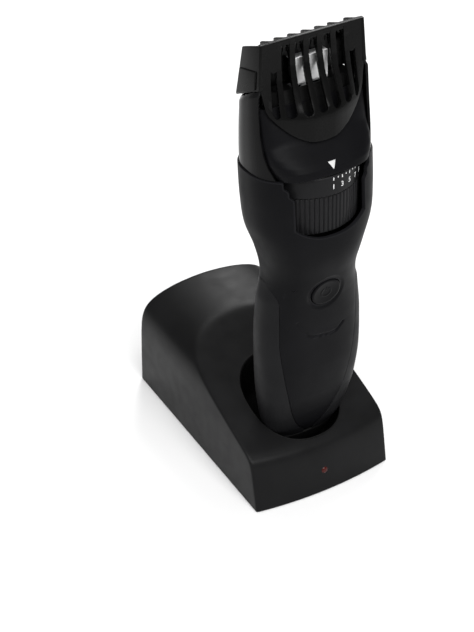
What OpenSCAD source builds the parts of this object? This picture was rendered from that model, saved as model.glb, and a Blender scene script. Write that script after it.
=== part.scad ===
// Body groomer: a rechargeable trimmer with a sliding comb, standing in its charging stand.
// The stand rests on z = 0 with its front towards -Y; the trimmer leans back in the cradle.

/* [Charging stand] */
// Width of the stand
stand_w = 57; // [55:0.5:60]
// Depth of the stand at its corners
stand_d = 90; // [88:1:94]
// Height of the crown at the back
crown_h = 41; // [40:0.5:43]
// Height of the front edge of the sloping deck
ridge_h = 22; // [21:0.5:23]
// Slope of the deck
deck_angle = 18; // [17:0.5:19]
// How far the front and back faces bow out in plan
face_bow = 2.6; // [1.5:0.1:3.5]
// Backward lean of the front face
face_lean = 12; // [8:1:14]
// Wall thickness of the stand
stand_wall = 2.2; // [1.8:0.1:2.6]

/* [Cradle] */
// Half width of the oval opening
cradle_hw = 17.6; // [17:0.1:18.4]
// Half depth of the oval opening
cradle_hd = 19; // [18.5:0.1:19.4]
// Wall thickness of the cup
cup_wall = 1.4; // [1.2:0.1:1.8]

/* [Trimmer] */
// Backward lean of the trimmer in the cradle
lean = 3; // [2:0.5:4]
// Height of the bottom of the trimmer above the ground
seat_h = 9; // [8.5:0.5:10]
// Distance of the trimmer's axis in front of the stand's centre at its base
seat_y = -33; // [-33.5:0.5:-32.5]
// Wall thickness of the housing
wall = 1.6; // [1.4:0.1:1.8]
// Thickness of the soft grips
grip_t = 1; // [0.8:0.1:1.2]
// Radius of the power button
button_r = 5.7; // [5:0.1:6]
// Height of the power button along the axis
button_s = 78.5; // [77:0.5:80]

/* [Length dial] */
// Outer radius of the dial drum
dial_r = 19.2; // [19:0.1:19.3]
// Lower end of the dial
dial_s0 = 105; // [104.8:0.1:105.5]
// Height of the ribbed band
knurl_h = 14; // [12:0.5:15]
// Height of the number band
band_h = 7.4; // [6:0.2:8]
// Turn of the dial from the shortest to the longest setting
dial_turn = 48; // [40:1:48]

/* [Comb and cutter] */
// Half width of the comb at its top
comb_hw = 18.4; // [18:0.1:18.8]
// Height of the comb's front edge along the axis
comb_top = 172.5; // [172:0.5:173]
// Thickness of a comb rib
rib_t = 1.3; // [1.1:0.1:1.5]
// Number of slots between the ribs
slot_count = 7; // [6:1:8]
// Number of teeth on the blades
blade_teeth = 24; // [18:1:28]

/* [Hidden] */

round_fn = 48;
fit = 0.06;
overshoot = 1;
far = 300;

// Stand: derived places
foot_h = 0.5;
plate_t = 1.8;
plate_top = foot_h + plate_t;
corner_r = 9.5;
crown_rise = 1.6;
bow_r = (pow(stand_w / 2, 2) + pow(face_bow, 2)) / (2 * face_bow);
back_lean = 2;
deck_y0 = -38.8;
boss_x = stand_w / 2 - stand_wall - 3;
boss_front_y = -33;
boss_back_y = 37;
boss_r = 3.6;
stand_screw_r = 1.3;
board_z = plate_top + 1.2;
board_t = 1.4;
jack_z = 10;
led_z = 8.9;
led_r = 1.35;

// Cradle: places in the trimmer's own frame
cradle_y = 11.6;
cradle_knee = 9;
nest_y = 7;
nest_hw = 13.4;
nest_hd = 10.2;
seat_gap = 0.2;
pin_x = 4;
pin_y = 6.6;

// Trimmer sections, bottom to top: [height, half width, front, back, widest line].
// Front, back and widest line are places along the trimmer's own Y.
STATIONS = [[0, 9, 3.5, 9.5, 6.5], [6, 12.2, 0.5, 12, 6], [14, 15, -2.4, 12.8, 4.5],
            [22, 17, -5.2, 12.8, 3], [32, 18.7, -8.2, 12.4, 1.5], [45, 19.7, -10, 11.8, 0],
            [62, 19.6, -11.1, 10.8, 0], [75, 18.2, -12.6, 10.1, 0], [85, 16.9, -15.2, 9.5, 0],
            [95, 18.9, -17.8, 10.2, 0], [105, 22.2, -18.4, 12.4, 0], [115, 23, -17.8, 14.6, 0],
            [127, 23, -16.8, 16.2, 0], [137, 22.2, -15.6, 14.5, 0], [150, 20.4, -14, 10.5, 0]];
section_power = 2.5;
section_points = 36;
body_top = 150;
cap_s = 10;
seam_y = 1;
grip_top = 127;
shell_top = 129;
side_grip_top = 82;
ear_s = 131;
ear_y = -6;
window_hw = 13;
button_y = -13.4;
button_tilt = 13;
button_gap = 0.15;
ear_t = 1.2;
neck_hw = 17.6;
plate_y = -4.4;
screw_head_y = 5.6;
screw_s = 92;

// Dial and head: places in the trimmer's own frame
dial_y = 1.6;
dial_wall = 2.2;
dial_s1 = dial_s0 + knurl_h + band_h;
dial_half_view = 43;
rib_step = 1.25;
neck_s0 = dial_s1 + 0.4;
neck_s1 = 137;
head_hw = 16.4;
head_y = -2.1;
head_hd = 6.4;
head_s1 = 143;
bib_s0 = 137.3;
bib_s1 = 146;
bib_y = -12.8;
bib_hw = 17.9;
bib_rise = 13.1;
leg_y0 = -3;
leg_y1 = 2;
rail_s0 = 128;
comb_front_y = -5;
comb_rear_y = 5.8;
comb_rear_top = 168.2;
comb_s0 = 150.4;
comb_wall = 1.3;
motor_y = -1;
motor_r = 7.5;
motor_s0 = 100;
motor_s1 = 124;
shaft_r = 1;
cam_s0 = 128;
cam_s1 = 132;
cam_offset = 1;
cam_pin_r = 1.2;
cam_pin_s1 = 142;
blade_s0 = 154;
blade_tip = 168.4;
blade_y = 0.35;
blade_hw = 16;
blade_t = 0.6;
spring_y = -3.1;
spring_s1 = 163.8;

function sgn_pow(v, p) = sign(v) * pow(abs(v), p);
// Smooth curve through four values, from b at t = 0 to c at t = 1
function curve(a, b, c, d, t) =
    0.5 * (2 * b + (c - a) * t + (2 * a - 5 * b + 4 * c - d) * t * t
           + (3 * b - a - 3 * c + d) * t * t * t);
function station_index(s, i = 0) =
    i >= len(STATIONS) - 2 || s < STATIONS[i + 1][0] ? i : station_index(s, i + 1);
function at(s, k) =
    let (i = station_index(s), last = len(STATIONS) - 1, p = STATIONS[i], q = STATIONS[i + 1])
    curve(STATIONS[max(i - 1, 0)][k], p[k], q[k], STATIONS[min(i + 2, last)][k],
          (s - p[0]) / (q[0] - p[0]));
// Outline of the trimmer at a height, moved inwards by inset
function outline(s, inset) =
    let (a = at(s, 1) - inset, f = at(s, 2) + inset, b = at(s, 3) - inset, m = at(s, 4))
    [for (i = [0 : section_points - 1])
        let (t = 360 * i / section_points,
             u = sgn_pow(cos(t), 2 / section_power), v = sgn_pow(sin(t), 2 / section_power))
        [a * u, v < 0 ? m + v * (m - f) : m + v * (b - m)]];
function oval(hw, hd, power = 2.3, count = 60) =
    [for (i = [0 : count - 1])
        let (t = 360 * i / count)
        [hw * sgn_pow(cos(t), 2 / power), hd * sgn_pow(sin(t), 2 / power)]];
// Arch section of the stand: straight sides, round shoulders and a slightly crowned top
function arch(w, h, r) =
    concat([[-w / 2, -overshoot]],
           [for (i = [0 : 8]) let (t = 180 - 90 * i / 8)
               [-w / 2 + r + r * cos(t), h - crown_rise - r + r * sin(t)]],
           [for (i = [1 : 11]) let (x = (w / 2 - r) * (i / 6 - 1))
               [x, h - crown_rise * pow(x / (w / 2 - r), 2)]],
           [for (i = [0 : 8]) let (t = 90 - 90 * i / 8)
               [w / 2 - r + r * cos(t), h - crown_rise - r + r * sin(t)]],
           [[w / 2, -overshoot]]);

// Moves its children into the trimmer's own frame, where Z runs up the trimmer
module in_trimmer() {
    translate([0, seat_y, seat_h])
        rotate([-lean, 0, 0])
            children();
}

module block(x0, x1, y0, y1, z0, z1) {
    translate([x0, y0, z0])
        cube([x1 - x0, y1 - y0, z1 - z0]);
}

module rod(r, z0, z1, x = 0, y = 0) {
    translate([x, y, z0])
        cylinder(r = r, h = z1 - z0, $fn = round_fn);
}

module prism(points, z0, z1, y = 0) {
    translate([0, y, z0])
        linear_extrude(z1 - z0)
            polygon(points);
}

// A plate in a YZ plane, drawn as [y, z] points and centred on x
module side_plate(points, x, t) {
    translate([x - t / 2, 0, 0])
        rotate([90, 0, 90])
            linear_extrude(t)
                polygon(points);
}

// ---- Charging stand ----

module below_deck(drop) {
    translate([0, deck_y0, ridge_h - drop])
        rotate([deck_angle, 0, 0])
            block(-far, far, -far, far, -far, 0);
}

// One bowed end face as a large leaning cylinder; side is -1 at the front and 1 at the back
module bowed_end(side, angle, inset) {
    translate([0, side * (stand_d / 2 + face_bow - (bow_r + inset) / cos(angle)), 0])
        rotate([side * angle, 0, 0])
            translate([0, 0, -far / 4])
                cylinder(r = bow_r, h = far / 2, $fn = round_fn);
}

module stand_outer(inset, z0) {
    intersection() {
        translate([0, far / 2, 0])
            rotate([90, 0, 0])
                linear_extrude(far)
                    polygon(arch(stand_w - 2 * inset, crown_h - inset, corner_r));
        bowed_end(-1, face_lean, inset);
        bowed_end(1, back_lean, inset);
        below_deck(inset);
        block(-far, far, -far, far, z0, far);
    }
}

module cup_space(grow) {
    in_trimmer() {
        prism(oval(cradle_hw + grow, cradle_hd + grow), cradle_knee, 60, cradle_y);
        hull() {
            prism(oval(cradle_hw + grow, cradle_hd + grow), cradle_knee, cradle_knee + 0.1, cradle_y);
            prism(oval(nest_hw + grow, nest_hd + grow), -seat_gap - grow, 0, nest_y);
        }
    }
}

module each_boss() {
    for (x = [-boss_x, boss_x])
        for (y = [boss_front_y, boss_back_y])
            translate([x, y, 0])
                children();
}

module stand_shell() {
    color("#1d1e20")
        difference() {
            union() {
                difference() {
                    stand_outer(0, foot_h);
                    stand_outer(stand_wall, -overshoot);
                }
                intersection() {
                    stand_outer(stand_wall / 2, plate_top);
                    each_boss() rod(boss_r, plate_top, far);
                }
            }
            cup_space(cup_wall);
            each_boss() rod(stand_screw_r, -overshoot, 14);
            translate([0, stand_d / 2, jack_z]) rotate([90, 0, 0]) rod(5.2, -10, 10);
            led_axis() rod(led_r + fit, -10, 10);
        }
}

module led_axis() {
    translate([0, -stand_d / 2 - face_bow + led_z * tan(face_lean), led_z])
        rotate([90 - face_lean, 0, 0])
            children();
}

module stand_base_plate() {
    color("#17181a")
        difference() {
            intersection() {
                stand_outer(stand_wall + fit, foot_h);
                block(-far, far, -far, far, foot_h, plate_top);
            }
            each_boss() rod(stand_screw_r + 0.2, -overshoot, far);
            each_boss() rod(2.8, -overshoot, foot_h + 1);
            each_foot() rod(4, -overshoot, foot_h + 0.8);
        }
}

module each_foot() {
    for (x = [-16.5, 16.5])
        for (y = [-35, 36])
            translate([x, y, 0])
                children();
}

module stand_feet() {
    color("#2a2a2c")
        each_foot() rod(4, 0, foot_h + 0.8);
}

module stand_screws() {
    color("silver")
        each_boss()
            difference() {
                union() {
                    rod(2.5, foot_h - 0.3, foot_h + 1);
                    rod(stand_screw_r, foot_h + 1, 13);
                }
                block(-1.8, 1.8, -0.3, 0.3, -overshoot, foot_h + 0.3);
                block(-0.3, 0.3, -1.8, 1.8, -overshoot, foot_h + 0.3);
            }
}

module cradle_cup() {
    color("#141516")
        difference() {
            intersection() {
                cup_space(cup_wall);
                below_deck(0);
            }
            cup_space(0);
            in_trimmer() each_contact() rod(1.1, -10, 10);
        }
}

module each_contact() {
    for (x = [-pin_x, pin_x])
        translate([x, pin_y, 0])
            children();
}

module stand_contact_pins() {
    color("gold")
        in_trimmer() each_contact() {
            rod(1, -3.2, -0.25);
            rod(1.6, -3.2, -2.4);
        }
}

module stand_circuit_board() {
    color("darkgreen")
        block(-18, 18, -38, 34, board_z, board_z + board_t);
}

module stand_capacitors() {
    color("#3a4a6a")
        for (x = [-12, 12])
            rod(4, board_z + board_t, board_z + board_t + 12, x, 8);
}

module ballast_weight() {
    color("gray")
        block(-20, 20, 15, 31, board_z + board_t + 0.6, board_z + board_t + 18);
}

module charge_led() {
    color("#c02020")
        led_axis() rod(1.2, -5, -2.65);
}

module led_lens() {
    color("#8c1a14")
        led_axis() {
            rod(led_r, -2.6, 0.15);
            rod(led_r + 0.6, -2.6, -2.25);
        }
}

module inlet_jack() {
    color("#101010")
        translate([0, stand_d / 2 + face_bow - 0.6, jack_z])
            rotate([90, 0, 0])
                difference() {
                    rod(5.1, 0, 11);
                    rod(2.8, -overshoot, 9);
                }
}

module inlet_pin() {
    color("silver")
        translate([0, stand_d / 2 + face_bow - 0.6, jack_z])
            rotate([90, 0, 0])
                rod(1, 1, 9);
}

// ---- Trimmer housing ----

// Solid of the trimmer between two heights, moved inwards by inset, as a chain of blended slices
module trimmer_form(s0, s1, inset) {
    steps = max(8, ceil((s1 - s0) / 6));
    for (i = [0 : steps - 1])
        hull()
            for (k = [i, i + 1])
                let (s = s0 + (s1 - s0) * k / steps)
                    translate([0, 0, min(s, s1 - 0.01)])
                        linear_extrude(0.01)
                            polygon(outline(s, inset));
}

module skin(s0, s1, outer, inner) {
    difference() {
        trimmer_form(s0, s1, outer);
        trimmer_form(s0 - 0.02, s1 + 0.02, inner);
    }
}

// Face of the front housing between the side grips, a long tongue seen from the front
module tongue_face() {
    rotate([90, 0, 0])
        linear_extrude(far, center = true)
            polygon([[-17.2, far], [-17.2, 84], [-17, 70], [-17.4, 58], [-16.4, 47], [-13.4, 35],
                     [-9.4, 22], [-5, 14.5], [0, 11.6], [5, 14.5], [9.4, 22], [13.4, 35],
                     [16.4, 47], [17.4, 58], [17, 70], [17.2, 84], [17.2, far]]);
}

module window_cuts() {
    block(-window_hw, window_hw, -far, seam_y - 4, dial_s0 - 0.4, far);
    block(-18.4, 18.4, -far, seam_y - 4, 123, far);
    block(-far, far, -far, ear_y, ear_s, far);
}

module front_housing() {
    color("#232528")
        in_trimmer()
            difference() {
                intersection() {
                    union() {
                        skin(cap_s, 84, 0, wall + grip_t);
                        skin(84, ear_s, 0, wall);
                        skin(ear_s, body_top, 0, ear_t);
                    }
                    block(-far, far, -far, seam_y, 0, far);
                }
                window_cuts();
                side_pocket(1, 0);
                side_pocket(-1, 0);
                button_axis() rod(button_r + button_gap, -9, 20);
            }
}

module side_pocket(side, gap) {
    difference() {
        intersection() {
            skin(cap_s, side_grip_top, gap > 0 ? 0 : -overshoot, grip_t - gap);
            block(side > 0 ? 0 : -far, side > 0 ? far : 0, -far, seam_y - gap, 0, far);
            block(-far, far, -far, far, cap_s + gap, side_grip_top - gap);
        }
        tongue_face();
    }
}

module side_grip_left() {
    color("#2b2d30") in_trimmer() side_pocket(-1, 0.02);
}

module side_grip_right() {
    color("#2b2d30") in_trimmer() side_pocket(1, 0.02);
}

module rear_housing() {
    color("#1f2123")
        in_trimmer()
            difference() {
                union() {
                    intersection() {
                        skin(cap_s, shell_top, grip_t, wall + grip_t);
                        block(-far, far, seam_y, far, 0, far);
                    }
                    intersection() {
                        skin(grip_top, body_top, 0, ear_t);
                        block(-far, far, seam_y, far, 0, far);
                    }
                }
                each_housing_screw() rod(1.25, 0, far);
                each_housing_screw() rod(2.05, screw_head_y, far);
            }
}

module rear_grip() {
    color("#2b2d30")
        in_trimmer()
            intersection() {
                skin(cap_s, shell_top, 0, grip_t - 0.02);
                block(-far, far, seam_y, far, 0, grip_top - 0.05);
            }
}

module base_cap() {
    color("#1a1b1d")
        in_trimmer()
            difference() {
                trimmer_form(0, cap_s - 0.6, 0);
                trimmer_form(2.4, cap_s, wall + 0.6);
                each_contact() block(-1.6, 1.6, -1.6, 1.6, -overshoot, 2.6);
            }
}

module base_seal() {
    color("#303234")
        in_trimmer()
            difference() {
                trimmer_form(cap_s - 0.6, cap_s, 0.3);
                trimmer_form(cap_s - 0.7, cap_s + 0.1, wall + 0.6);
            }
}

module base_contacts() {
    color("gold")
        in_trimmer() each_contact() {
            block(-1.6, 1.6, -1.6, 1.6, 0, 0.6);
            block(-0.8, 0.8, -0.3, 0.3, 0.6, 9);
        }
}

module each_housing_screw() {
    for (x = [-11.5, 11.5])
        translate([x, 0, screw_s])
            rotate([-90, 0, 0])
                children();
}

module housing_screws() {
    color("silver")
        in_trimmer()
            each_housing_screw() {
                rod(1.2, plate_y + 0.2, screw_head_y);
                rod(2, screw_head_y, screw_head_y + 0.6);
            }
}

// ---- Trimmer inside ----

module inner_chassis() {
    color("#3a3c40")
        in_trimmer()
            difference() {
                union() {
                    block(-13, 13, plate_y, plate_y + 1.2, 40, 98);
                    intersection() {
                        rod(dial_r - dial_wall - 0.1, dial_s0, dial_s1, 0, dial_y);
                        block(-16.6, 16.6, -far, 6.5, 0, far);
                    }
                    block(-12, 12, -9, 4.5, 96, dial_s0);
                }
                rod(motor_r + 0.4, motor_s0 - 0.5, motor_s1, 0, motor_y);
                rod(shaft_r + 2, motor_s1 - 1, far, 0, motor_y);
                block(-12, 12, -9, far, motor_s1, far);
                each_housing_screw() rod(1.3, -far, far);
            }
}

module battery_cell() {
    color("#5a7f5a")
        in_trimmer() {
            rod(5.25, 24, 67.5, 0, 2.4);
            rod(1.9, 67.5, 68.5, 0, 2.4);
        }
}

module battery_tabs() {
    color("silver")
        in_trimmer() {
            block(-2.5, 2.5, -3, 4, 23.7, 24);
            block(-2.5, 2.5, -3, 4, 68.5, 68.8);
        }
}

module circuit_board() {
    color("darkgreen")
        in_trimmer() block(-11, 11, plate_y - 1.2, plate_y, 44, 92);
}

// Axis of the power button, square to the sloping front, with Z pointing outwards
module button_axis() {
    translate([0, button_y, button_s])
        rotate([90 + button_tilt, 0, 0])
            children();
}

module tact_switch() {
    color("#222222")
        in_trimmer() {
            block(-3, 3, -8.4, plate_y - 1.2, button_s - 2, button_s + 4);
            button_axis() rod(1.4, -5.6, -4.2);
        }
}

module button_seal() {
    color("#1c1c1e")
        in_trimmer()
            button_axis()
                difference() {
                    rod(button_r - 0.5, -3.9, -3.5);
                    rod(2, -5, 0);
                }
}

module power_button() {
    color("#303236")
        in_trimmer()
            button_axis() {
                rod(button_r, -2.6, -0.2);
                translate([0, 0, -0.2])
                    cylinder(r1 = button_r, r2 = button_r - 0.5, h = 0.4, $fn = round_fn);
                rod(1.6, -3.4, -2.6);
            }
}

module motor_can() {
    color("lightgray")
        in_trimmer()
            difference() {
                rod(motor_r, motor_s0, motor_s1, 0, motor_y);
                rod(shaft_r + 0.05, motor_s0 + 4, far, 0, motor_y);
            }
}

module motor_mount() {
    color("#44464a")
        in_trimmer()
            difference() {
                block(-12, 12, -9, 8, motor_s1, motor_s1 + 1.6);
                rod(shaft_r + 2, 0, far, 0, motor_y);
            }
}

module shaft_seal() {
    color("#151515")
        in_trimmer()
            difference() {
                rod(shaft_r + 1.9, motor_s1, motor_s1 + 1.6, 0, motor_y);
                rod(shaft_r + 0.05, 0, far, 0, motor_y);
            }
}

module motor_shaft() {
    color("silver")
        in_trimmer() rod(shaft_r, motor_s0 + 4.2, cam_s1, 0, motor_y);
}

module drive_cam() {
    color("ivory")
        in_trimmer()
            difference() {
                union() {
                    rod(4.2, cam_s0, cam_s1, 0, motor_y);
                    rod(cam_pin_r, cam_s1, cam_pin_s1, cam_offset, motor_y);
                }
                rod(shaft_r, 0, cam_s1, 0, motor_y);
            }
}

// ---- Length dial ----

// Outline of the drum between two angles, 0 being the front, with ribs of a given depth
function drum_outline(a0, a1, r_in, rib_depth) =
    let (steps = round((a1 - a0) / rib_step))
    concat([for (i = [0 : steps])
               let (a = a0 + (a1 - a0) * i / steps, r = dial_r - (floor(i / 2) % 2) * rib_depth)
               [r * sin(a), -r * cos(a)]],
           [for (i = [steps : -1 : 0])
               let (a = a0 + (a1 - a0) * i / steps)
               [r_in * sin(a), -r_in * cos(a)]]);

module dial_drum() {
    a0 = -dial_half_view;
    a1 = dial_half_view + dial_turn;
    color("#26282b")
        in_trimmer() {
            prism(drum_outline(a0, a1, dial_r - dial_wall, 0.5), dial_s0, dial_s0 + knurl_h, dial_y);
            prism(drum_outline(a0, a1, dial_r - dial_wall, 0), dial_s0 + knurl_h, dial_s1, dial_y);
        }
}

module dial_detent_spring() {
    color("silver")
        in_trimmer()
            block(-16.9, -16.65, dial_y - 1, dial_y + 1, dial_s0 + 3, dial_s1 - 3);
}

module neck_cover() {
    color("#232528")
        in_trimmer()
            difference() {
                hull() {
                    prism(oval(neck_hw, 14.2, 2.5), neck_s0, neck_s0 + 2, -4);
                    prism(oval(neck_hw - 0.3, 10.7, 2.5), neck_s1 - 0.1, neck_s1, -1.7);
                }
                block(-far, far, ear_y + 6, far, 0, far);
                rod(7, 0, far, 0, motor_y);
            }
}

module comb_carriage() {
    color("#303236")
        in_trimmer() {
            for (x = [-18.45, 18.45])
                block(x - 0.45, x + 0.45, leg_y0, leg_y1, rail_s0, comb_s0 - 0.8);
            for (x = [-18.45, 18.45])
                block(x - 0.45, x + 0.45, leg_y1, 5.2, rail_s0, rail_s0 + 3);
            block(-18.9, 18.9, 4, 5.2, rail_s0, rail_s0 + 3);
        }
}

// ---- Head and cutter ----

module head_block() {
    color("#1b1c1e")
        in_trimmer()
            difference() {
                union() {
                    prism(oval(head_hw, head_hd, 2), neck_s1, head_s1, head_y);
                    hull() {
                        prism(oval(head_hw, head_hd, 2), head_s1 - 0.1, head_s1, head_y);
                        prism(oval(head_hw - 0.6, 5, 3), 151, blade_s0, 0.6);
                    }
                }
                block(-far, far, 2.6, far, 0, 141);
                rod(6.6, 0, 147, 0, motor_y);
                block(-6, 6, motor_y - 3, motor_y + 3, 140, far);
            }
}

module blade_holder() {
    color("#151617")
        in_trimmer()
            side_plate([[1.6, blade_s0], [5.2, blade_s0], [4.6, blade_s0 + 6], [1.6, blade_tip - 5]],
                       0, 2 * blade_hw + 1);
}

function comb_teeth(hw, root, tip, count) =
    let (pitch = 2 * hw / count)
    concat([[-hw, 0]],
           [for (i = [0 : count - 1])
               for (p = [[0, root], [0.3, tip], [0.6, tip], [0.9, root]])
                   [-hw + (i + p[0]) * pitch, p[1]]],
           [[hw, root], [hw, 0]]);

module blade_plate(y, hw, h, root, count) {
    translate([0, y + blade_t, blade_s0 + 0.4])
        rotate([90, 0, 0])
            linear_extrude(blade_t)
                polygon(comb_teeth(hw, root, h, count));
}

module stationary_blade() {
    color("silver")
        in_trimmer() blade_plate(1, blade_hw, blade_tip - blade_s0 - 0.4, 11, blade_teeth);
}

module moving_blade() {
    color("lightgray")
        in_trimmer() blade_plate(blade_y, blade_hw - 1.4, blade_tip - blade_s0 - 1.2, 10.6, blade_teeth - 2);
}

module blade_spring() {
    color("gainsboro")
        in_trimmer() {
            block(-7.5, 7.5, spring_y, spring_y + 0.4, blade_s0, spring_s1);
            block(-7.5, 7.5, spring_y, blade_y - 1.05, blade_s0, blade_s0 + 0.35);
            block(-7.5, 7.5, spring_y, blade_y - 0.3, spring_s1 - 0.35, spring_s1);
        }
}

module blade_yoke() {
    color("ivory")
        in_trimmer() {
            difference() {
                block(-5, 5, motor_y - 2.6, motor_y + 2.6, 140.6, 144);
                block(-3.5, 3.5, motor_y - 2.3, motor_y + 2.3, 140, 143);
            }
            block(-1.5, 1.5, blade_y - 0.7, blade_y, 144, blade_s0 + 3);
        }
}

// ---- Comb ----

// Plan of the comb's front at a bulge, from one side to the other
function bib(hw, side_y, mid_y, inset) =
    concat([for (i = [0 : 16]) let (u = i / 8 - 1)
               [u * hw, side_y + (mid_y - side_y) * (1 - u * u)]],
           [for (i = [16 : -1 : 0]) let (u = i / 8 - 1)
               [u * (hw - inset), side_y + inset + (mid_y - side_y) * (1 - u * u)]]);
// Front of the comb at a place across it, from 1 at the bib to 0 at the straight top edge
function comb_face(x, k) = comb_front_y + k * (bib_y + 0.2 - comb_front_y) * (1 - pow(x / comb_hw, 2));

module comb_rib(x) {
    side_plate([[comb_face(x, 1), bib_s1 - 2.2], [comb_face(x, 0.96), bib_s1],
                [comb_face(x, 0.68), bib_s1 + 5], [comb_face(x, 0.1), bib_s1 + 16.5],
                [comb_front_y, comb_top], [comb_front_y + 1, comb_top + 0.1],
                [comb_rear_y, comb_rear_top], [comb_rear_y - 0.2, comb_rear_top - 1.2],
                [comb_front_y + 4, comb_top - 2.6], [comb_front_y + 3, comb_top - 5],
                [comb_front_y + 1.5, bib_s1 + 18.5], [comb_front_y + 1.5, bib_s1 + 15],
                [comb_face(x, 0.68) + 1.8, bib_s1 + 5],
                [comb_face(x, 1) + 1.2, bib_s1 - 1], [comb_face(x, 1) + 1.2, bib_s1 - 2.2]],
               x, rib_t);
}

module comb_side(side) {
    side_plate([[comb_front_y - 0.6, comb_s0], [comb_front_y, comb_top], [comb_rear_y, comb_rear_top],
                [8.6, comb_s0]],
               side * (comb_hw + 0.35), comb_wall);
}

module comb_frame() {
    pitch = 2 * comb_hw / slot_count;
    color("#1a1b1d")
        in_trimmer() {
            for (i = [1 : slot_count - 1])
                comb_rib(-comb_hw + i * pitch);
            for (side = [-1, 1]) {
                comb_side(side);
                block(side * 17.4 - 0.4, side * 17.4 + 0.4, leg_y0, leg_y1, bib_s0 + 0.2, comb_s0 + 3);
                block(side * 17.8 - 0.5, side * 17.8 + 0.5, leg_y0, leg_y1, comb_s0, comb_s0 + 3);
            }
            intersection() {
                prism(bib(comb_hw + 0.9, comb_front_y, bib_y, comb_wall), bib_s0, bib_s1);
                bib_edge();
            }
            side_bib();
            block(-comb_hw, comb_hw, comb_front_y, comb_front_y + 1, comb_top - 1.2, comb_top);
            block(-comb_hw, comb_hw, 7.2, 8.5, comb_s0, comb_s0 + 7);
        }
}

// Everything above the curved lower edge of the bib, seen from the front
module bib_edge() {
    rotate([90, 0, 0])
        linear_extrude(far, center = true)
            polygon(concat([for (i = [0 : 12]) let (u = i / 6 - 1) [u * bib_hw, bib_s0 + bib_rise * u * u]],
                           [[far, bib_s0 + bib_rise], [far, far], [-far, far],
                            [-far, bib_s0 + bib_rise]]));
}

// Lower front corners of the comb, which join the bib to the side walls
module side_bib() {
    intersection() {
        prism(bib(comb_hw + 0.9, comb_front_y, bib_y, comb_wall), bib_s1 - 0.5, comb_top - 12);
        difference() {
            block(-far, far, -far, comb_front_y + 1, bib_s1 - 0.5, comb_top - 12);
            block(-15, 15, -far, far, 0, far);
        }
        bib_edge();
    }
}

stand_shell();
stand_base_plate();
stand_feet();
stand_screws();
cradle_cup();
stand_contact_pins();
stand_circuit_board();
stand_capacitors();
ballast_weight();
charge_led();
led_lens();
inlet_jack();
inlet_pin();
front_housing();
rear_housing();
rear_grip();
side_grip_left();
side_grip_right();
base_cap();
base_seal();
base_contacts();
housing_screws();
inner_chassis();
battery_cell();
battery_tabs();
circuit_board();
tact_switch();
button_seal();
motor_can();
motor_mount();
shaft_seal();
neck_cover();
dial_detent_spring();
head_block();
blade_holder();
stationary_blade();
blade_spring();
power_button();
dial_drum();
comb_carriage();
motor_shaft();
drive_cam();
moving_blade();
blade_yoke();
comb_frame();
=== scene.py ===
"""Looks of the body groomer in its charging stand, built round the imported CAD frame.

The trimmer's pieces are drawn in millimetres in the trimmer's own frame, where Z runs up the
trimmer and its front faces -Y, and are then moved into the leaning place that the frame gives it.
"""

import math

import bmesh
import bpy
import numpy as np
from mathutils import Matrix, Vector


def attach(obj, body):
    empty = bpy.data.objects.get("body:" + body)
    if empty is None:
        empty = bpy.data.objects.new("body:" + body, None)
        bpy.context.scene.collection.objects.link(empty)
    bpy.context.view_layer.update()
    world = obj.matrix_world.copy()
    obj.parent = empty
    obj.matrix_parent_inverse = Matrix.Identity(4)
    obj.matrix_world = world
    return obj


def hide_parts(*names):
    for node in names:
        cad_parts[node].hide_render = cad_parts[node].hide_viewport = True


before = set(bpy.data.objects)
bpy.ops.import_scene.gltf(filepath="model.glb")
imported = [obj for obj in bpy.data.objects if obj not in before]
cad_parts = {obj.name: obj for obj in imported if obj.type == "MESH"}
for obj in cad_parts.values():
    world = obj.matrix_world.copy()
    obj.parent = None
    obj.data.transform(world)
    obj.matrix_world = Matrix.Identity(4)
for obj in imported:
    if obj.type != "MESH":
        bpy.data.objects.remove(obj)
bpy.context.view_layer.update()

MM = 0.001

# ---------------------------------------------------------------- camera, made first

VIEW_TARGET = Vector((-4.5, 10.5, 44.7)) * MM
VIEW_DISTANCE = 0.6571
VIEW_AZIMUTH = math.radians(30.3)
VIEW_ELEVATION = math.radians(37.4)

camera_data = bpy.data.cameras.new("camera")
camera_data.lens = 99.5
camera_data.sensor_width = 36.0
camera_data.clip_end = 20.0
camera = bpy.data.objects.new("camera", camera_data)
bpy.context.scene.collection.objects.link(camera)
camera.location = VIEW_TARGET + VIEW_DISTANCE * Vector((
    -math.sin(VIEW_AZIMUTH) * math.cos(VIEW_ELEVATION),
    -math.cos(VIEW_AZIMUTH) * math.cos(VIEW_ELEVATION),
    math.sin(VIEW_ELEVATION)))
camera.rotation_euler = (VIEW_TARGET - camera.location).to_track_quat("-Z", "Y").to_euler()
bpy.context.scene.camera = camera

# ---------------------------------------------------------------- driving sizes, millimetres

LEAN = math.radians(3)
SEAT = Vector((0, -33, 9))
IN_TRIMMER = (Matrix.Scale(MM, 4) @ Matrix.Translation(SEAT) @ Matrix.Rotation(-LEAN, 4, "X"))
IN_STAND = Matrix.Scale(MM, 4)

# Trimmer sections: height, half width, front, back, widest line
STATIONS = (
    (0, 9, 3.5, 9.5, 6.5), (6, 12.2, 0.5, 12, 6), (14, 15, -2.4, 12.8, 4.5),
    (22, 17, -5.2, 12.8, 3), (32, 18.7, -8.2, 12.4, 1.5), (45, 19.7, -10, 11.8, 0),
    (62, 19.6, -11.1, 10.8, 0), (75, 18.2, -12.6, 10.1, 0), (85, 16.9, -15.2, 9.5, 0),
    (95, 18.9, -17.8, 10.2, 0), (105, 22.2, -18.4, 12.4, 0), (115, 23, -17.8, 14.6, 0),
    (127, 23, -16.8, 16.2, 0), (137, 23, -15.6, 15.9, 0), (150, 22.7, -14, 14.6, 0),
    (158, 22.4, -13.5, 14, 0))
SECTION_POWER = 2.5
SEAM_Y = 5.0
CAP_TOP = 10.0
BODY_TOP = 126.6
HEAD_TOP = 150.0
GAP = 0.13

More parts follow.
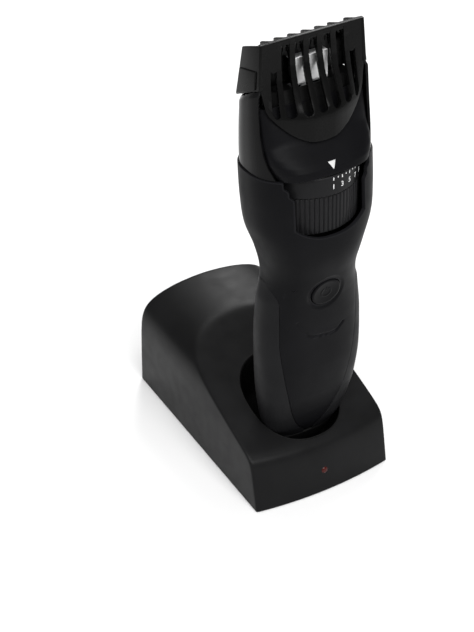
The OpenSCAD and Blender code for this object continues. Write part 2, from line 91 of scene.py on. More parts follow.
TONGUE_TIP = 11.6
TONGUE_FULL = 58.0
TONGUE_HALF = 15.6
GRIP_TOP = 82.0
GRIP_ROUND = 6.5

WINDOW_HALF = 13.6
WINDOW_BOTTOM = 103.9
WINDOW_RISE = 4.6

BUTTON_R = 5.7
BUTTON_Y = -13.4
BUTTON_S = 78.5
BUTTON_TILT = math.radians(13)

DIAL_R = 19.2
DIAL_Y = 1.6
DIAL_S0 = 105.0
KNURL_TOP = 119.0
DIAL_S1 = 126.4
KNURL_FROM = -50
BAND_FROM = -62
DIAL_TO = 91
DEGREES_PER_MM = 48 / 9

COMB_HALF = 18.4
COMB_TOP = 172.5
COMB_FRONT = -5.0
COMB_REAR = 5.8
COMB_REAR_TOP = 168.2
COMB_S0 = 150.4
SLOT_BASE = 147.0
SLOTS = ((-14.3, 1.05), (-10, 1.55), (-5, 1.55), (0, 1.55), (5, 1.55), (10, 1.55), (14.3, 1.05))
SLOT_CLOSE = 161.6
COMB_SIDE = 19.2
BIB_Y = -12.8
BIB_S0 = 137.3
BIB_S1 = 146.0
BIB_HALF = 17.9
BIB_RISE = 13.1
BIB_CORNER = 7.4
SIDE_RISE = 6.9

STAND_W = 57.0
STAND_END = 47.6
STAND_BOTTOM = 0.5
CROWN_H = 41.0
CROWN_DROP = 0.0044
SHOULDER_SOFTNESS = 3.6
RIDGE_H = 22.0
DECK_Y0 = -38.8
DECK_SLOPE = math.radians(18)
FACE_LEAN = math.radians(12)
BACK_LEAN = math.radians(2)
BOW_R = 157.5
EDGE_SOFTNESS = 0.3
RIDGE_SOFTNESS = 1.7
CRADLE_Y = 11.6
CRADLE_HW = 16.9
CRADLE_HD = 19.0
CRADLE_POWER = 2.3
CRADLE_KNEE = 9.0
NEST_Y = 7.0
LIP = 0.5
CUP_WALL = 0.8
STAND_WALL = 2.0
LED_Z = 8.9
LED_R = 1.33


# ---------------------------------------------------------------- shape helpers

def spow(value, power):
    return math.copysign(abs(value) ** power, value)


def lerp(a, b, t):
    return a + (b - a) * t


def smooth(a, b, value):
    """0 below a, 1 above b, and a soft step between."""
    t = min(max((value - a) / (b - a), 0.0), 1.0)
    return t * t * (3 - 2 * t)


def at(s, column):
    """A column of STATIONS at height s, on a smooth curve through the stations."""
    last = len(STATIONS) - 1
    i = 0
    while i < last - 1 and s >= STATIONS[i + 1][0]:
        i += 1
    a = STATIONS[max(i - 1, 0)][column]
    b = STATIONS[i][column]
    c = STATIONS[i + 1][column]
    d = STATIONS[min(i + 2, last)][column]
    t = (s - STATIONS[i][0]) / (STATIONS[i + 1][0] - STATIONS[i][0])
    return 0.5 * (2 * b + (c - a) * t + (2 * a - 5 * b + 4 * c - d) * t * t
                  + (3 * b - a - 3 * c + d) * t ** 3)


def body_point(s, phi, inset=0.0):
    """Point of the trimmer's outside. phi is the angle from the front, positive towards +X."""
    half = at(s, 1) - inset
    front = at(s, 2) + inset
    back = at(s, 3) - inset
    mid = at(s, 4)
    x = half * spow(math.sin(phi), 2 / SECTION_POWER)
    v = -spow(math.cos(phi), 2 / SECTION_POWER)
    y = mid + v * ((mid - front) if v < 0 else (back - mid))
    return (x, y, s)


def phi_at_x(s, x):
    """Angle at which the front of the trimmer is x from its middle."""
    return math.asin(min(abs(x) / at(s, 1), 1.0) ** (SECTION_POWER / 2))


def phi_at_y(s, y):
    """Angle at which the side of the trimmer reaches y."""
    mid = at(s, 4)
    if y < mid:
        v = (mid - y) / (mid - at(s, 2))
        return math.acos(min(v, 1.0) ** (SECTION_POWER / 2))
    v = (y - mid) / (at(s, 3) - mid)
    return math.pi - math.acos(min(v, 1.0) ** (SECTION_POWER / 2))


def add_object(name, mesh):
    obj = bpy.data.objects.new(name, mesh)
    bpy.context.scene.collection.objects.link(obj)
    return obj


def mesh_from(name, verts, faces, place, sharp=35):
    """Object from vertices in millimetres and faces, moved into place, smooth below sharp degrees."""
    mesh = bpy.data.meshes.new(name)
    mesh.from_pydata([place @ Vector(v) for v in verts], [], faces)
    mesh.validate()
    mesh.update()
    mesh.shade_smooth()
    mesh.set_sharp_from_angle(angle=math.radians(sharp))
    return add_object(name, mesh)


def grid(name, rows, place=IN_TRIMMER, closed=False, keep=None):
    """Surface through rows of points. closed joins each row's ends; keep(i, j) picks the faces."""
    width = len(rows[0])
    verts = [p for row in rows for p in row]
    faces = []
    for i in range(len(rows) - 1):
        for j in range(width if closed else width - 1):
            if keep is None or keep(i, j):
                k = (j + 1) % width
                faces.append((i * width + j, i * width + k, (i + 1) * width + k, (i + 1) * width + j))
    return mesh_from(name, verts, faces, place)


def tidy(obj):
    """Removes vertices that no face uses."""
    bm = bmesh.new()
    bm.from_mesh(obj.data)
    loose = [v for v in bm.verts if not v.link_faces]
    bmesh.ops.delete(bm, geom=loose, context="VERTS")
    bmesh.ops.dissolve_degenerate(bm, dist=1e-7, edges=bm.edges)
    bm.to_mesh(obj.data)
    bm.free()


def thicken(obj, thickness, roll=0.0, segments=3):
    """Gives a surface a thickness inwards, in millimetres, and rolls its rim over."""
    solid = obj.modifiers.new("thickness", "SOLIDIFY")
    solid.thickness = thickness * MM
    solid.offset = -1
    if roll > 0:
        bevel(obj, roll, segments)


def bevel(obj, width, segments=3, angle=40):
    edge = obj.modifiers.new("edges", "BEVEL")
    edge.width = width * MM
    edge.segments = segments
    edge.limit_method = "ANGLE"
    edge.angle_limit = math.radians(angle)
    edge.harden_normals = False


def plate(name, outline, low, high, across="x", place=IN_TRIMMER, edge=0.25):
    """Prism of an outline. across x: outline is (y, z); y: (x, z); z: (x, y)."""
    order = {"x": lambda p, t: (t, p[0], p[1]), "y": lambda p, t: (p[0], t, p[1]),
             "z": lambda p, t: (p[0], p[1], t)}[across]
    count = len(outline)
    verts = [order(p, low) for p in outline] + [order(p, high) for p in outline]
    faces = [tuple(range(count)), tuple(range(2 * count - 1, count - 1, -1))]
    faces += [(i, i + count, (i + 1) % count + count, (i + 1) % count) for i in range(count)]
    obj = mesh_from(name, verts, faces, place, sharp=30)
    bm = bmesh.new()
    bm.from_mesh(obj.data)
    bmesh.ops.recalc_face_normals(bm, faces=bm.faces)
    bm.to_mesh(obj.data)
    bm.free()
    if edge > 0:
        bevel(obj, edge, 3, 30)
    return obj


def join(name, objects):
    """One object from several, with their modifiers applied."""
    graph = bpy.context.evaluated_depsgraph_get()
    bm = bmesh.new()
    for obj in objects:
        mesh = bpy.data.meshes.new_from_object(obj.evaluated_get(graph))
        bm.from_mesh(mesh)
        bpy.data.meshes.remove(mesh)
    mesh = bpy.data.meshes.new(name)
    bm.to_mesh(mesh)
    bm.free()
    for obj in objects:
        bpy.data.objects.remove(obj)
    mesh.shade_smooth()
    mesh.set_sharp_from_angle(angle=math.radians(35))
    return add_object(name, mesh)


# ---------------------------------------------------------------- materials

def nodes_of(name):
    material = bpy.data.materials.new(name)
    material.use_nodes = True
    tree = material.node_tree
    return material, tree, tree.nodes["Principled BSDF"]


def ramp(tree, source, stops):
    node = tree.nodes.new("ShaderNodeValToRGB")
    elements = node.color_ramp.elements
    while len(elements) < len(stops):
        elements.new(0.5)
    for element, (place, colour) in zip(elements, stops):
        element.position = place
        element.color = (*colour, 1) if len(colour) == 3 else colour
    tree.links.new(source, node.inputs["Fac"])
    return node


def noise(tree, scale, detail=3.0, stretch=(1, 1, 1)):
    place = tree.nodes.new("ShaderNodeTexCoord")
    mapping = tree.nodes.new("ShaderNodeMapping")
    mapping.inputs["Scale"].default_value = stretch
    tree.links.new(place.outputs["Object"], mapping.inputs["Vector"])
    node = tree.nodes.new("ShaderNodeTexNoise")
    node.inputs["Scale"].default_value = scale
    node.inputs["Detail"].default_value = detail
    tree.links.new(mapping.outputs["Vector"], node.inputs["Vector"])
    return node


def moulded(name, dark, light, rough, grain_mm, grain_depth, specular=0.4, coat=0.0, metallic=0.0,
            stretch=(1, 1, 1)):
    """A moulded or machined surface: cloudy colour, worn edges, uneven gloss and a fine grain."""
    material, tree, shader = nodes_of(name)
    shader.inputs["Metallic"].default_value = metallic
    shader.inputs["Specular IOR Level"].default_value = specular
    shader.inputs["Coat Weight"].default_value = coat
    shader.inputs["Coat Roughness"].default_value = 0.12
    cloud = noise(tree, 60, 4)
    colour = ramp(tree, cloud.outputs["Fac"], [(0.3, dark), (0.75, light)])
    worn = tree.nodes.new("ShaderNodeMix")
    worn.data_type = "RGBA"
    geometry = tree.nodes.new("ShaderNodeNewGeometry")
    edge = ramp(tree, geometry.outputs["Pointiness"], [(0.57, (0, 0, 0)), (0.7, (0.4, 0.4, 0.4))])
    tree.links.new(edge.outputs["Color"], worn.inputs["Factor"])
    tree.links.new(colour.outputs["Color"], worn.inputs["A"])
    worn.inputs["B"].default_value = (*[min(1.0, c * 2.2 + 0.004) for c in light], 1)
    tree.links.new(worn.outputs["Result"], shader.inputs["Base Color"])
    smear = noise(tree, 180, 5, stretch)
    gloss = ramp(tree, smear.outputs["Fac"],
                 [(0.3, (rough * 0.88,) * 3), (0.7, (min(1.0, rough * 1.12),) * 3)])
    tree.links.new(gloss.outputs["Color"], shader.inputs["Roughness"])
    grain = noise(tree, 1 / (grain_mm * MM), 2, stretch)
    bump = tree.nodes.new("ShaderNodeBump")
    bump.inputs["Strength"].default_value = 1.0
    bump.inputs["Distance"].default_value = grain_depth * MM
    tree.links.new(grain.outputs["Fac"], bump.inputs["Height"])
    tree.links.new(bump.outputs["Normal"], shader.inputs["Normal"])
    return material


def grey(value, tint=0.0):
    return (value, value, value * (1 + tint))


mat_stand = moulded("stand_black", grey(0.006, 0.04), grey(0.0085, 0.04), 0.36, 0.35, 0.012, 0.075)
mat_cup = moulded("cup_black", grey(0.003), grey(0.005), 0.5, 0.3, 0.01, 0.12)
mat_body = moulded("body_charcoal", grey(0.0034, 0.16), grey(0.005, 0.16), 0.42, 0.28, 0.01, 0.048)
mat_gloss = moulded("head_gloss", grey(0.0035, 0.05), grey(0.0055, 0.05), 0.22, 0.5, 0.004, 0.075)
mat_grip = moulded("soft_grip", grey(0.0055, 0.1), grey(0.0078, 0.1), 0.48, 0.22, 0.014, 0.085)
mat_dial = moulded("dial_charcoal", grey(0.006, 0.08), grey(0.0085, 0.08), 0.4, 0.25, 0.008, 0.1)
mat_comb = moulded("comb_black", grey(0.0024), grey(0.0036), 0.26, 0.5, 0.004, 0.075)
mat_button = moulded("button_charcoal", grey(0.003, 0.16), grey(0.0044, 0.16), 0.34, 0.25, 0.008, 0.045)
mat_dark = moulded("inner_black", grey(0.002), grey(0.004), 0.5, 0.3, 0.01, 0.1)
mat_rubber = moulded("rubber_black", grey(0.010), grey(0.016), 0.75, 0.25, 0.02, 0.2)
mat_steel = moulded("screw_steel", grey(0.45), grey(0.6), 0.32, 0.2, 0.004, 0.5, metallic=1.0)
mat_blade = moulded("blade_steel", grey(0.75), grey(0.9), 0.42, 0.12, 0.002, 0.5, metallic=1.0,
                    stretch=(8, 1, 1))
mat_coated = moulded("coated_steel", grey(0.012), grey(0.02), 0.3, 0.12, 0.002, 0.5, metallic=1.0,
                     stretch=(8, 1, 1))
mat_gold = moulded("contact_gold", (0.7, 0.5, 0.22), (0.85, 0.62, 0.3), 0.25, 0.2, 0.003, 0.5,
                   metallic=1.0)
mat_acetal = moulded("acetal_white", grey(0.6), grey(0.7), 0.4, 0.3, 0.006, 0.4)
mat_print = moulded("print_white", grey(0.5), grey(0.62), 0.5, 0.2, 0.004, 0.2)
mat_board = moulded("board_green", (0.01, 0.06, 0.02), (0.02, 0.11, 0.04), 0.35, 0.4, 0.01, 0.5)
mat_sleeve = moulded("cell_sleeve", (0.03, 0.12, 0.06), (0.05, 0.2, 0.1), 0.25, 0.4, 0.004, 0.5)
mat_blue = moulded("capacitor_blue", (0.01, 0.015, 0.05), (0.02, 0.03, 0.09), 0.3, 0.4, 0.004, 0.5)
mat_led = moulded("led_red", (0.03, 0.003, 0.002), (0.06, 0.005, 0.003), 0.2, 0.5, 0.002, 0.2)


def paint(obj, material, body):
    obj.data.materials.clear()
    obj.data.materials.append(material)
    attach(obj, body)
    return obj


# ---------------------------------------------------------------- charging stand

def bow(x):
    return x * x / (2 * BOW_R)


def stand_field(x, y, z):
    """Below 0 inside the stand. The faces are blended, so every edge is a little round."""
    side = (np.abs(x) - STAND_W / 2) / SHOULDER_SOFTNESS
    crown = (z - CROWN_H + CROWN_DROP * x * x) / SHOULDER_SOFTNESS
    arch = SHOULDER_SOFTNESS * np.logaddexp(side, crown)
    front = (-STAND_END + bow(x) + z * math.tan(FACE_LEAN) - y) * math.cos(FACE_LEAN)
    back = (y - STAND_END + bow(x) + z * math.tan(BACK_LEAN)) * math.cos(BACK_LEAN)
    deck = (z - RIDGE_H - (y - DECK_Y0) * math.tan(DECK_SLOPE)) * math.cos(DECK_SLOPE)
    ridge = RIDGE_SOFTNESS * np.logaddexp(front / RIDGE_SOFTNESS, deck / RIDGE_SOFTNESS)
    faces = np.stack([arch, back, ridge])
    return EDGE_SOFTNESS * np.log(np.exp(faces / EDGE_SOFTNESS).sum(axis=0))


def oval_point(angle, grow):
    """Point of the oval in the trimmer's frame, grown outwards."""
    return ((CRADLE_HW + grow) * spow(math.cos(angle), 2 / CRADLE_POWER),
            CRADLE_Y + (CRADLE_HD + grow) * spow(math.sin(angle), 2 / CRADLE_POWER))


def deck_height(x, y):
    """Height of the deck above a place in the trimmer's frame, along the trimmer's axis."""
    slope = math.tan(DECK_SLOPE)
    cos, sin = math.cos(LEAN), math.sin(LEAN)
    base = SEAT.z - y * sin - RIDGE_H - (SEAT.y + y * cos - DECK_Y0) * slope
    return -base / (cos - sin * slope)


def stand_skin():
    """The loaf of the stand: rays from the middle of its footprint out to the blended faces."""
    nx, ny, nz = 116, 192, 84
    half_x, half_y = STAND_W / 2, STAND_END
    xs = np.linspace(-half_x, half_x, nx)
    ys = np.linspace(-half_y, half_y, ny)
    zs = np.linspace(0, CROWN_H, nz)
    ring = ([(x, -half_y) for x in xs] + [(half_x, y) for y in ys[1:]]
            + [(x, half_y) for x in xs[-2::-1]] + [(-half_x, y) for y in ys[-2:0:-1]])
    points = [(x, y, z) for z in zs for x, y in ring]
    index = {}
    for k, (x, y) in enumerate(ring):
        index[(round(x, 4), round(y, 4))] = (nz - 1) * len(ring) + k
    for y in ys[1:-1]:
        for x in xs[1:-1]:
            index[(round(x, 4), round(y, 4))] = len(points)
            points.append((x, y, CROWN_H))
    faces = []
    count = len(ring)
    for i in range(nz - 1):
        for j in range(count):
            k = (j + 1) % count
            faces.append((i * count + j, i * count + k, (i + 1) * count + k, (i + 1) * count + j))
    for b in range(ny - 1):
        for a in range(nx - 1):
            corners = [(xs[a], ys[b]), (xs[a + 1], ys[b]), (xs[a + 1], ys[b + 1]), (xs[a], ys[b + 1])]
            faces.append(tuple(index[(round(x, 4), round(y, 4))] for x, y in corners))
    rays = np.array(points)
    low, high = np.zeros(len(rays)), np.full(len(rays), 1.4)
    for _ in range(34):
        middle = (low + high) / 2
        p = rays * middle[:, None]
        outside = stand_field(p[:, 0], p[:, 1], p[:, 2] + STAND_BOTTOM) > 0
        high = np.where(outside, middle, high)
        low = np.where(outside, low, middle)
    verts = rays * low[:, None] + np.array([0, 0, STAND_BOTTOM])
    obj = mesh_from("stand_shell_skin", [tuple(v) for v in verts], faces, IN_STAND, sharp=60)
    thicken(obj, STAND_WALL)
    outline = [oval_point(2 * math.pi * j / 160, LIP) for j in range(160)]
    cutter = plate("cradle_hole", outline, -20, 60, "z", edge=0)
    hole = obj.modifiers.new("cradle", "BOOLEAN")
    hole.operation = "DIFFERENCE"
    hole.object = cutter
    mesh = bpy.data.meshes.new_from_object(obj.evaluated_get(bpy.context.evaluated_depsgraph_get()))
    obj.modifiers.clear()
    obj.data = mesh
    bpy.data.objects.remove(cutter)
    mesh.set_sharp_from_angle(angle=math.radians(35))
    return obj


def cup_skin():
    """Lip and inside of the oval cradle, down to its floor."""
    rows = []
    angles = [2 * math.pi * j / 160 for j in range(160)]

    def row(grow, drop, squeeze=0.0):
        points = []
        for angle in angles:
            x, y = oval_point(angle, grow)
            x, y = lerp(x, 0, squeeze), lerp(y, NEST_Y, squeeze)
            points.append((x, y, drop(x, y)))
        rows.append(points)

    for k in range(6):
        turn = math.radians(90 * k / 5)
        row(LIP * (1 - math.sin(turn)), lambda x, y, t=turn: deck_height(x, y) - LIP * (1 - math.cos(t)))
    for k in range(1, 13):
        row(0, lambda x, y, t=k / 12: lerp(deck_height(x, y) - LIP, CRADLE_KNEE, t))
    for k in range(1, 9):
        t = k / 8
        row(0, lambda x, y, t=t: lerp(CRADLE_KNEE, 0.2, t), 0.25 * t)
    for k in range(1, 8):
        row(0, lambda x, y: 0.0, 0.25 + 0.74 * k / 7)
    rows = [row_points[::-1] for row_points in rows]
    obj = grid("cradle_cup_skin", rows, closed=True)
    bm = bmesh.new()
    bm.from_mesh(obj.data)
    bmesh.ops.holes_fill(bm, edges=[e for e in bm.edges if e.is_boundary and e.calc_length() < 0.0005])
    bmesh.ops.reverse_faces(bm, faces=bm.faces)
    bm.to_mesh(obj.data)
    bm.free()
    thicken(obj, CUP_WALL)
    return obj


def led_skin():
    """Domed lens of the charge light, on a short straight round side."""
    place = (Matrix.Scale(MM, 4)
             @ Matrix.Translation((0, -STAND_END + LED_Z * math.tan(FACE_LEAN), LED_Z))
             @ Matrix.Rotation(math.pi / 2 - FACE_LEAN, 4, "X"))
    profile = [(0.02, 0.42), (0.5, 0.38), (0.9, 0.26), (1.2, 0.08), (LED_R, -0.1), (LED_R, -1.8)]
    rows = []
    for r, z in profile[::-1]:
        rows.append([(r * math.cos(2 * math.pi * j / 32), r * math.sin(2 * math.pi * j / 32), z)
                     for j in range(32)])
    lens = grid("led_lens_skin", rows, place, closed=True)
    return lens


stand = paint(stand_skin(), mat_stand, "stand")
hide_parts("stand_shell")
cup = paint(cup_skin(), mat_cup, "stand")
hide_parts("cradle_cup")
lens = paint(led_skin(), mat_led, "stand")
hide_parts("led_lens")


# ---------------------------------------------------------------- trimmer housing

def tongue_half(s):
    """Half width of the long tongue of the front housing between the side grips."""
    q = min(max((s - TONGUE_TIP) / (TONGUE_FULL - TONGUE_TIP), 0.0), 1.0)
    return TONGUE_HALF * math.sqrt(max(1 - (1 - q) ** 1.33, 0.0004))


def grip_edge(s):
    """0 where the side grip is at full width and 1 above its round top."""
    t = min(max((s - (GRIP_TOP - GRIP_ROUND)) / GRIP_ROUND, 0.0), 1.0)
    return 1 - math.sqrt(max(1 - t * t, 0.0))


def housing_phi(s, gap):
    """Angle of the front housing's side edge; gap moves it towards the front."""
    seam = phi_at_y(s, SEAM_Y)
    groove = phi_at_x(s, tongue_half(s))
    return lerp(groove, seam, grip_edge(s)) - gap / at(s, 1)


def window_half(s):
    """Half width of the window, which steps out twice on the way up."""
    return WINDOW_HALF + 1.5 * smooth(119.6, 121.4, s) + 1.5 * smooth(122.8, 124.4, s)


def window_floor(x):
    return WINDOW_BOTTOM + WINDOW_RISE * min(abs(x) / WINDOW_HALF, 1) ** 2.4


SMILE = ((-9.8, 67.2), (-5.6, 61), (-3.6, 59.6), (3.2, 58.6), (6, 58.9), (8.8, 61.4))
SMILE_DEPTH = 0.42
SMILE_HALF = 0.56
DISH_R = 7.6
DISH_DEPTH = 0.45
FRONT_WALL = 1.3


def distance_to_path(x, z, path):
    best = 99.0
    for (ax, az), (bx, bz) in zip(path, path[1:]):
        dx, dz = bx - ax, bz - az
        t = min(max(((x - ax) * dx + (z - az) * dz) / (dx * dx + dz * dz), 0), 1)
        best = min(best, math.hypot(x - ax - t * dx, z - az - t * dz))
    return best


def front_relief(x, s):
    """How deep the front is pressed in: the dish round the button and the engraved smile."""
    depth = DISH_DEPTH * (1 - smooth(DISH_R - 1.3, DISH_R, math.hypot(x, s - BUTTON_S)))
    if 55 < s < 70:
        d = distance_to_path(x, s, SMILE)
        depth += SMILE_DEPTH * (1 - smooth(SMILE_HALF * 0.4, SMILE_HALF * 1.3, d))
    return depth


def front_housing_skin():
    side, middle = 42, 76
    lower, upper = 250, 46
    columns = 2 * side + middle
    rows = []
    corner = window_floor(WINDOW_HALF)
    for i in range(lower + 1):
        t = (i / lower) ** 1.12
        row = []
        for j in range(columns + 1):
            inner = min(max((j - side) / middle, 0), 1) * 2 - 1
            top = window_floor(inner * WINDOW_HALF)
            s = lerp(TONGUE_TIP + 0.05, top, t)
            edge = housing_phi(s, GAP)
            x_window = min(WINDOW_HALF, 0.76 * at(s, 1) * spow(math.sin(edge), 0.8))
            near = phi_at_x(s, x_window)
            if j < side:
                phi = -lerp(edge, near, j / side)
            elif j > side + middle:
                phi = lerp(near, edge, (j - side - middle) / side)
            else:
                phi = math.copysign(phi_at_x(s, abs(inner) * x_window), inner)
            x, y, z = body_point(s, phi)
            row.append((x, y + front_relief(x, s) * (y < 0), z))
        rows.append(row)
    for i in range(1, upper + 1):
        s = lerp(corner, BODY_TOP, i / upper)
        edge = phi_at_y(s, SEAM_Y) - GAP / at(s, 1)
        near = phi_at_x(s, window_half(s))
        row = []
        for j in range(columns + 1):
            inner = min(max((j - side) / middle, 0), 1) * 2 - 1
            if j <= side:
                phi = -lerp(edge, near, j / side)
            elif j >= side + middle:
                phi = lerp(near, edge, (j - side - middle) / side)
            else:
                phi = inner * near
            row.append(body_point(s, phi))
        rows.append(row)

    def keep(i, j):
        return i < lower or j < side or j >= side + middle

    obj = grid("front_housing_skin", rows, keep=keep)
    tidy(obj)
    open_button_hole(obj)
    thicken(obj, FRONT_WALL, 0.3)
    return obj


def open_button_hole(obj):
    """Cuts the round hole of the power button and moves its rim onto a true circle."""
    to_button = (IN_TRIMMER @ Matrix.Translation((0, BUTTON_Y, BUTTON_S))
                 @ Matrix.Rotation(math.pi / 2 + BUTTON_TILT, 4, "X"))
    back = to_button.inverted()
    radius = BUTTON_R + 0.2
    bm = bmesh.new()
    bm.from_mesh(obj.data)

    def reach(point):
        p = back @ point
        return math.hypot(p.x, p.y) if abs(p.z) < 6 else 99.0

    gone = [f for f in bm.faces if reach(f.calc_center_median()) < radius]
    bmesh.ops.delete(bm, geom=gone, context="FACES")
    for vert in bm.verts:
        if vert.is_boundary and reach(vert.co) < radius + 1.2:
            p = back @ vert.co
            grow = radius / math.hypot(p.x, p.y)
            vert.co = to_button @ Vector((p.x * grow, p.y * grow, p.z))
    bm.to_mesh(obj.data)
    bm.free()


GRIP_SWELL = 0.75
GRIP_WALL = 1.0


def side_grip_skin(name, side):
    """Soft grip between the tongue and the rear seam, swelling a little along its middle."""
    rows = []
    steps, columns = 150, 34
    low, high = CAP_TOP + 0.25, GRIP_TOP - GAP
    for i in range(steps + 1):
        s = lerp(low, high, (i / steps) ** 0.9)
        near = max(housing_phi(s, -GAP), phi_at_x(s, 2.0))
        far = phi_at_y(s, SEAM_Y) - GAP / at(s, 1)
        row = []
        for j in range(columns + 1):
            t = j / columns
            phi = lerp(near, max(far, near + 0.001), t)
            swell = GRIP_SWELL * math.sin(math.pi * t) * smooth(0, 5, s - low) * smooth(0, 7, high - s)
            row.append(body_point(s, phi, -swell))
        rows.append([(side * x, y, z) for x, y, z in (row if side > 0 else row[::-1])])
    obj = grid(name, rows)
    tidy(obj)
    thicken(obj, GRIP_WALL, 0.3)
    return obj


FINGER_FROM = 34
FINGER_TO = 92
FINGER_PITCH = 6.5
FINGER_DEPTH = 0.55


def rear_grip_skin():
    """Soft back of the trimmer, with shallow finger grooves across it."""
    rows = []
    steps, columns = 200, 110
    for i in range(steps + 1):
        s = lerp(CAP_TOP + 0.25, BODY_TOP, i / steps)
        edge = phi_at_y(s, SEAM_Y) + GAP / at(s, 1)
        row = []
        for j in range(columns + 1):
            phi = lerp(edge, 2 * math.pi - edge, j / columns)
            across = abs(phi - math.pi)
            wave = 0.5 - 0.5 * math.cos(2 * math.pi * (s - FINGER_FROM) / FINGER_PITCH)
            groove = FINGER_DEPTH * wave ** 3 * smooth(FINGER_FROM, FINGER_FROM + 4, s)
            groove *= 1 - smooth(FINGER_TO - 4, FINGER_TO, s)
            groove *= 1 - smooth(0.75, 0.95, across)
            row.append(body_point(s, phi, groove))
        rows.append(row)
    obj = grid("rear_grip_skin", rows)
    thicken(obj, GRIP_WALL, 0.3)
    return obj


EAR_FRONT = ((125, -12.4), (128, -11.2), (131, -9.6), (135, -8.2), (142, -6.6), (150, -6.0),
             (158, -5.8))
EAR_RISE = 7.0
EAR_LOW_Y = 8.0
EAR_HIGH_Y = -6.0
HEAD_INSET = 0.55
HEAD_WALL = 0.9
RIM_RISE = 0.15
RIM_ROLL = 0.7
FLANGE = 1.0
FLANGE_BACK = 2.4
BEAD = 0.25


def along(table, s):
    """Value at s on straight lines through a table of (s, value)."""
    for (a, u), (b, v) in zip(table, table[1:]):
        if s <= b:
            return lerp(u, v, (s - a) / (b - a))
    return table[-1][1]


def head_shell_skin():
    """Glossy upper housing: the back of the head and both ears, which rise towards the front.
    Its rim turns in to a flange, which ends in a low bead clear of the comb's rails."""
    rows = []
    steps, columns, flange, bead = 60, 150, 4, 2
    for i in range(steps + flange + bead + 1):
        row = []
        for j in range(columns + 1):
            edge = phi_at_y(HEAD_TOP, along(EAR_FRONT, HEAD_TOP))
            y = body_point(HEAD_TOP, lerp(edge, 2 * math.pi - edge, j / columns))[1]
            top = HEAD_TOP + RIM_RISE + EAR_RISE * min(
                max((EAR_LOW_Y - y) / (EAR_LOW_Y - EAR_HIGH_Y), 0), 1)
            s = lerp(BODY_TOP - 1.5, top, min(i / steps, 1))
            edge = phi_at_y(s, along(EAR_FRONT, s))
            inset = HEAD_INSET + RIM_ROLL * smooth(-2.2, 0, s - top) ** 2
            turned = min(max(i - steps, 0) / flange, 1)
            inset += turned * (FLANGE + FLANGE_BACK * smooth(5, 11, y))
            raised = max(i - steps - flange, 0) / bead * BEAD
            x, y, z = body_point(s, lerp(edge, 2 * math.pi - edge, j / columns), inset)
            row.append((x, y, z + raised))
        rows.append(row)
    obj = grid("head_shell_skin", rows)
    thicken(obj, HEAD_WALL, 0.3)
    return obj


def base_cap_skin():
    """Closed foot of the trimmer, round at its lower edge."""
    rows = []
    columns = 120
    top = CAP_TOP
    profile = [(0.0, 8.0), (0.0, 5.0), (0.02, 2.2), (0.25, 1.0), (0.8, 0.35), (1.6, 0.0)]
    profile += [(lerp(1.6, top, k / 10), 0.0) for k in range(1, 11)]
    for s, inset in profile:
        inset = min(inset, 0.92 * at(s, 1), 2.7) if s < 0.01 else inset
        rows.append([body_point(s, 2 * math.pi * j / columns, inset) for j in range(columns)])
    obj = grid("base_cap_skin", rows, closed=True)
    bm = bmesh.new()
    bm.from_mesh(obj.data)
    rim = [e for e in bm.edges if e.is_boundary
           and all((IN_TRIMMER.inverted() @ v.co).z < 0.1 for v in e.verts)]
    bmesh.ops.edgeloop_fill(bm, edges=rim)
    bmesh.ops.recalc_face_normals(bm, faces=bm.faces)
    bm.to_mesh(obj.data)
    bm.free()
    thicken(obj, 1.2)
    return obj


front = paint(front_housing_skin(), mat_body, "groomer")
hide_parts("front_housing")
for grip_name, grip_side in (("side_grip_left", -1), ("side_grip_right", 1)):
    grip = paint(side_grip_skin(grip_name + "_skin", grip_side), mat_grip, "groomer")
    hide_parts(grip_name)
rear = paint(rear_grip_skin(), mat_grip, "groomer")
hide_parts("rear_grip")
head = paint(head_shell_skin(), mat_gloss, "groomer")
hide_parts("rear_housing")
cap = paint(base_cap_skin(), mat_dark, "groomer")
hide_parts("base_cap")


# ---------------------------------------------------------------- neck cover and its pointer

NECK_PROFILE = ((126.6, -17.2), (127.3, -18.0), (129.6, -17.4), (131.5, -16.2), (134.3, -13.8),
                (137.2, -11.2), (138.8, -10.4), (143.2, -8.7), (146, -7.3), (148, -6.5), (149.8, -6.0))
NECK_HALF = ((126.6, 17.4), (129, 18.4), (132, 19.4), (138, 19.9), (149.8, 19.6))
NECK_SQUARE = ((126.6, 0.62), (134, 0.62), (138, 0.84), (149.8, 0.84))
NECK_SIDE = ((126.6, -5.8), (137, -5.4), (143, -4.4), (149.8, -3.4))


def neck_point(s, u):
    """Point of the neck cover; u runs from -1 to 1 across it."""
    front_y = along(NECK_PROFILE, s)
    half = along(NECK_HALF, s)
    angle = u * math.pi / 2
    side_y = along(NECK_SIDE, s)
    square = along(NECK_SQUARE, s)
    x = half * spow(math.sin(angle), square)
    y = side_y + (front_y - side_y) * spow(math.cos(angle), square)
    return (x, y, s)


def neck_skin():
    rows = []
    for i in range(71):
        s = lerp(NECK_PROFILE[0][0], NECK_PROFILE[-1][0], i / 70)
        rows.append([neck_point(s, j / 40 - 1) for j in range(81)])
    obj = grid("neck_cover_skin", rows)
    thicken(obj, 1.0, 0.25)
    return obj


POINTER_TOP = 131.4
POINTER_TIP = 128.9
POINTER_HALF = 1.45
PRINT_LIFT = 0.06


def pointer_skin():
    """White triangle that points at the dial."""
    rows = []
    for i in range(7):
        t = i / 6
        s = lerp(POINTER_TIP, POINTER_TOP, t)
        row = []
        for j in range(7):
            x = (j / 3 - 1) * lerp(0.02, POINTER_HALF, t)
            share = (abs(x) / along(NECK_HALF, s)) ** (1 / along(NECK_SQUARE, s))
            u = math.copysign(2 / math.pi * math.asin(share), x)
            px, py, pz = neck_point(s, u)
            row.append((px, py - PRINT_LIFT, pz))
        rows.append(row)
    obj = grid("neck_pointer", rows)
    thicken(obj, 0.05)
    return obj


